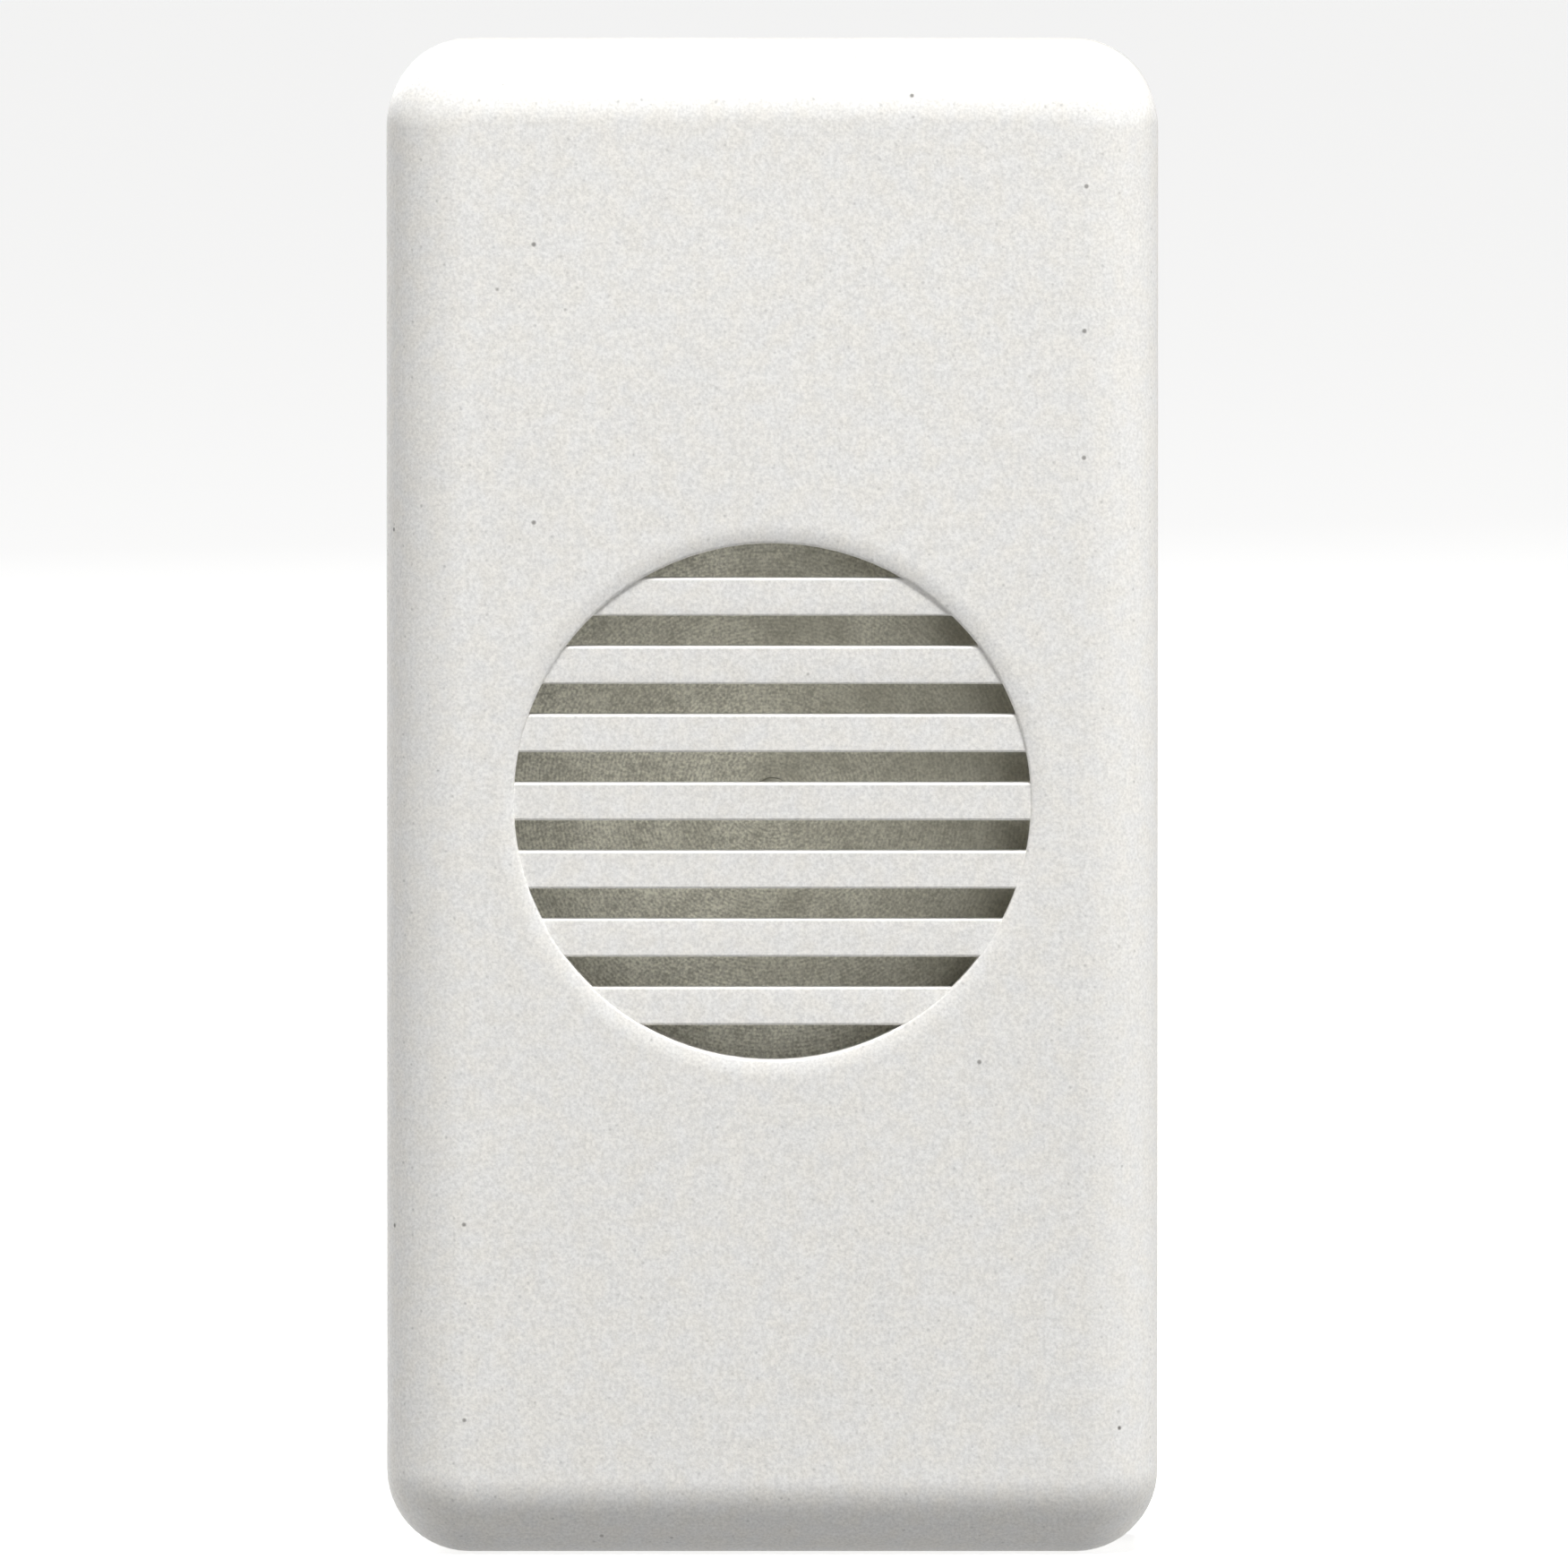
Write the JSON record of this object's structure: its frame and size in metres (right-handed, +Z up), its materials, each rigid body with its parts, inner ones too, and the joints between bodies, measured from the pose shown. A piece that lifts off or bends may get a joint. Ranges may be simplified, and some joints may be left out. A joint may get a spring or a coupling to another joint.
{
  "type": "door chime",
  "caption": "Modular electric door bell for a wiring frame: slotted round grille over a gong, with a sprung hammer, coil, snap tongues and screw terminals.",
  "frame": {"origin": "centre of the mounting frame's window, in the plane where the flange seats", "axes": "+Z up as mounted, +X to the right seen from the front, the face looks along -Y"},
  "size_m": [0.0224, 0.0389, 0.0438],
  "materials": {
    "cover_plastic": "fine-grained matt ivory moulding",
    "housing_plastic": "matt moulding, off-white",
    "bronze": "dull bell bronze",
    "brass": "turned or stamped brass, bright",
    "zinc_steel": "zinc-plated steel",
    "soft_iron": "passivated soft iron strip",
    "spring_steel": "bright spring steel",
    "bobbin_plastic": "black nylon",
    "enamelled_copper": "wound enamelled copper wire",
    "lead_sleeve": "grey sleeve over copper wire",
    "pad_rubber": "soft black rubber"
  },
  "bodies": {
    "housing": {"front_cover": "cover_plastic", "housing": "housing_plastic", "rear_cover": "housing_plastic", "rear_cover_screws": "zinc_steel", "gong": "bronze", "gong_post": "brass", "yoke": "soft_iron", "yoke_screw": "zinc_steel", "core": "soft_iron", "coil_bobbin": "bobbin_plastic", "coil_winding": "enamelled_copper", "arm_rest_pad": "pad_rubber", "return_spring": "spring_steel", "terminal_cage_left": "zinc_steel", "terminal_cage_right": "zinc_steel", "contact_strip_left": "brass", "contact_strip_right": "brass", "coil_lead_left": "lead_sleeve", "coil_lead_right": "lead_sleeve"},
    "armature": {"armature": "soft_iron", "hammer_arm": "spring_steel", "arm_rivets": "brass", "hammer_head": "brass"},
    "latch_upper": {"frame_latch_upper": "housing_plastic"},
    "latch_lower": {"frame_latch_lower": "housing_plastic"},
    "plate_left": {"pressure_plate_left": "zinc_steel"},
    "plate_right": {"pressure_plate_right": "zinc_steel"},
    "screw_left": {"terminal_screw_left": "zinc_steel"},
    "screw_right": {"terminal_screw_right": "zinc_steel"}
  },
  "joints": [
    {"name": "armature_hinge", "type": "hinge", "parent": "housing", "child": "armature", "pos_m": [0, 0.0175, -0.0102], "axis": [-1, 0, 0], "range_deg": [0, 3.5], "stiffness_Nm_per_rad": 0.003, "springref_deg": -28.65, "deforming": ["return_spring"]},
    {"name": "latch_upper_flex", "type": "hinge", "parent": "housing", "child": "latch_upper", "pos_m": [0, 0.0135, 0.0189], "axis": [1, 0, 0], "range_deg": [0, 6], "stiffness_Nm_per_rad": 0.32},
    {"name": "latch_lower_flex", "type": "hinge", "parent": "housing", "child": "latch_lower", "pos_m": [0, 0.0135, -0.0189], "axis": [-1, 0, 0], "range_deg": [0, 6], "stiffness_Nm_per_rad": 0.32},
    {"name": "plate_left_slide", "type": "slide", "parent": "housing", "child": "plate_left", "axis": [0, 0, -1], "range_m": [0, 0.00225]},
    {"name": "screw_left_turn", "type": "hinge", "parent": "plate_left", "child": "screw_left", "pos_m": [-0.00485, 0.0234, 0.01178], "axis": [0, 0, -1], "range_deg": [0, 1800]},
    {"name": "plate_right_slide", "type": "slide", "parent": "housing", "child": "plate_right", "axis": [0, 0, -1], "range_m": [0, 0.00225]},
    {"name": "screw_right_turn", "type": "hinge", "parent": "plate_right", "child": "screw_right", "pos_m": [0.00485, 0.0234, 0.01178], "axis": [0, 0, -1], "range_deg": [0, 1800]}
  ],
  "couplings": [
    {"joint": "screw_left_turn", "follows": "plate_left_slide", "rad_per_m": 13963},
    {"joint": "screw_right_turn", "follows": "plate_right_slide", "rad_per_m": 13963}
  ]
}
